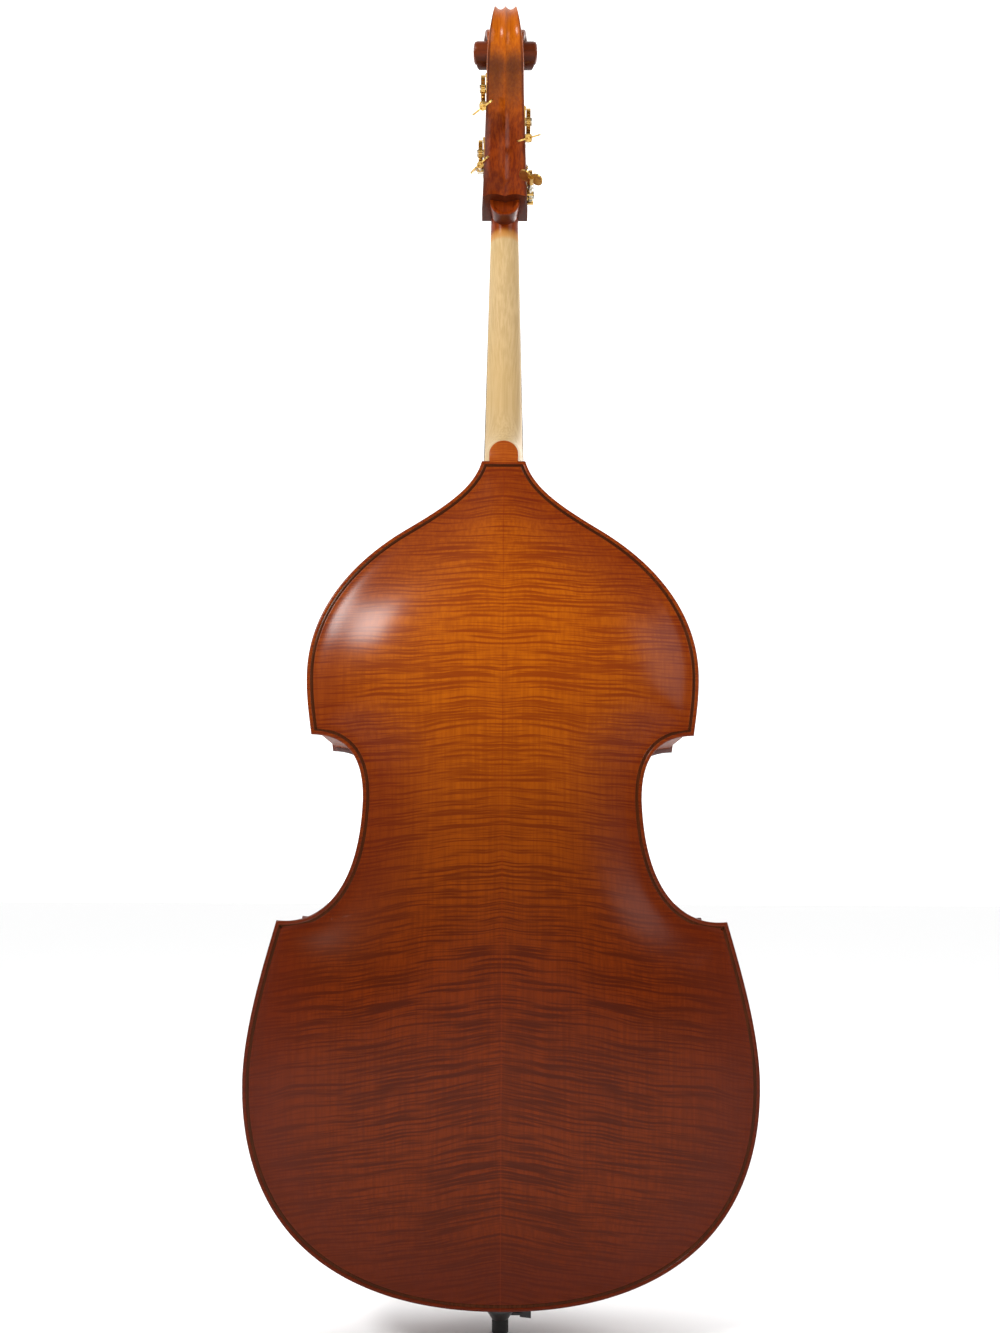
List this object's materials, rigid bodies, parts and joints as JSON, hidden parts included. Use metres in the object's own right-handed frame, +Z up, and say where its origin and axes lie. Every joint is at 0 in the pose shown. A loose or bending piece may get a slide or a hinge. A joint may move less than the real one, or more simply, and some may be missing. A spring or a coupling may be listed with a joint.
{
  "type": "double bass",
  "caption": "Upright double bass with a round carved back, violin corners, scroll head, brass plate tuning machines, ebony fingerboard and tailpiece, and a sliding endpin.",
  "frame": {"origin": "the tip of the endpin, on the instrument's middle line", "axes": "+Z up along the body and neck, -Y towards the strings and carved top, +Y towards the round back, +X towards the treble side"},
  "size_m": [0.66, 0.4095, 1.8378],
  "materials": {
    "back_varnish": "glossy orange-brown varnish over flamed maple",
    "top_varnish": "glossy orange-brown varnish over spruce",
    "purfling": "dark stained inlay under varnish",
    "rib_varnish": "glossy orange-brown varnish over flamed maple",
    "bare_spruce": "bare, inside the body",
    "neck_varnish": "varnished maple, oiled bare maple where the hand runs",
    "ebony": "polished black",
    "bridge_maple": "bare maple",
    "rubber": "black",
    "black_knob": "satin black",
    "steel": "plain",
    "string_steel": "wound steel",
    "nickel": "nickel plate",
    "brass": "polished"
  },
  "bodies": {
    "instrument": {"back_bass_half": "back_varnish", "back_treble_half": "back_varnish", "top_bass_half": "top_varnish", "top_treble_half": "top_varnish", "back_purfling": "purfling", "top_purfling": "purfling", "lower_rib_bass": "rib_varnish", "lower_rib_treble": "rib_varnish", "waist_rib_bass": "rib_varnish", "waist_rib_treble": "rib_varnish", "upper_rib_bass": "rib_varnish", "upper_rib_treble": "rib_varnish", "front_linings": "bare_spruce", "back_linings": "bare_spruce", "neck_block": "bare_spruce", "end_block": "bare_spruce", "corner_blocks": "bare_spruce", "bass_bar": "bare_spruce", "soundpost": "bare_spruce", "neck": "neck_varnish", "fingerboard": "ebony", "nut": "ebony", "saddle": "ebony", "bridge": "bridge_maple", "tailpiece": "ebony", "tail_wire": "steel", "endpin_collar": "ebony", "string_E": "string_steel", "string_A": "string_steel", "string_D": "string_steel", "string_G": "string_steel", "plate_E": "brass", "plate_A": "brass", "plate_D": "brass", "plate_G": "brass", "plate_screws": "brass"},
    "endpin": {"endpin_rod": "steel", "rubber_tip": "rubber"},
    "thumbscrew": {"endpin_screw": "black_knob"},
    "post_E": {"post_E": "nickel", "gear_E": "brass", "winding_E": "string_steel"},
    "worm_E": {"worm_E": "nickel", "key_E": "brass"},
    "post_A": {"post_A": "nickel", "gear_A": "brass", "winding_A": "string_steel"},
    "worm_A": {"worm_A": "nickel", "key_A": "brass"},
    "post_D": {"post_D": "nickel", "gear_D": "brass", "winding_D": "string_steel"},
    "worm_D": {"worm_D": "nickel", "key_D": "brass"},
    "post_G": {"post_G": "nickel", "gear_G": "brass", "winding_G": "string_steel"},
    "worm_G": {"worm_G": "nickel", "key_G": "brass"}
  },
  "joints": [
    {"name": "endpin_slide", "type": "slide", "parent": "instrument", "child": "endpin", "axis": [0, 0, -1], "range_m": [0, 0.25]},
    {"name": "thumbscrew_turn", "type": "hinge", "parent": "instrument", "child": "thumbscrew", "pos_m": [-0.03, 0, 0.0254], "axis": [-1, 0, 0], "continuous": true},
    {"name": "post_E_turn", "type": "hinge", "parent": "instrument", "child": "post_E", "pos_m": [-0.03158, -0.02313, 1.63203], "axis": [1, 0, 0], "continuous": true},
    {"name": "key_E_turn", "type": "hinge", "parent": "instrument", "child": "worm_E", "pos_m": [-0.03758, -0.02313, 1.61118], "axis": [0, 1, 0], "continuous": true},
    {"name": "post_A_turn", "type": "hinge", "parent": "instrument", "child": "post_A", "pos_m": [-0.02789, 0.01536, 1.70182], "axis": [1, 0, 0], "continuous": true},
    {"name": "key_A_turn", "type": "hinge", "parent": "instrument", "child": "worm_A", "pos_m": [-0.03389, 0.0037, 1.68453], "axis": [0, 0.829, -0.5592], "continuous": true},
    {"name": "post_D_turn", "type": "hinge", "parent": "instrument", "child": "post_D", "pos_m": [0.02599, 0.03364, 1.7393], "axis": [1, 0, 0], "continuous": true},
    {"name": "key_D_turn", "type": "hinge", "parent": "instrument", "child": "worm_D", "pos_m": [0.03199, 0.02081, 1.72287], "axis": [0, 0.788, -0.6157], "continuous": true},
    {"name": "post_G_turn", "type": "hinge", "parent": "instrument", "child": "post_G", "pos_m": [0.0298, -0.00274, 1.6647], "axis": [1, 0, 0], "continuous": true},
    {"name": "key_G_turn", "type": "hinge", "parent": "instrument", "child": "worm_G", "pos_m": [0.0358, -0.01188, 1.64596], "axis": [0, 0.8988, -0.4384], "continuous": true}
  ],
  "couplings": [
    {"joint": "key_E_turn", "follows": "post_E_turn", "ratio": 22},
    {"joint": "key_A_turn", "follows": "post_A_turn", "ratio": 22},
    {"joint": "key_D_turn", "follows": "post_D_turn", "ratio": -22},
    {"joint": "key_G_turn", "follows": "post_G_turn", "ratio": -22}
  ]
}
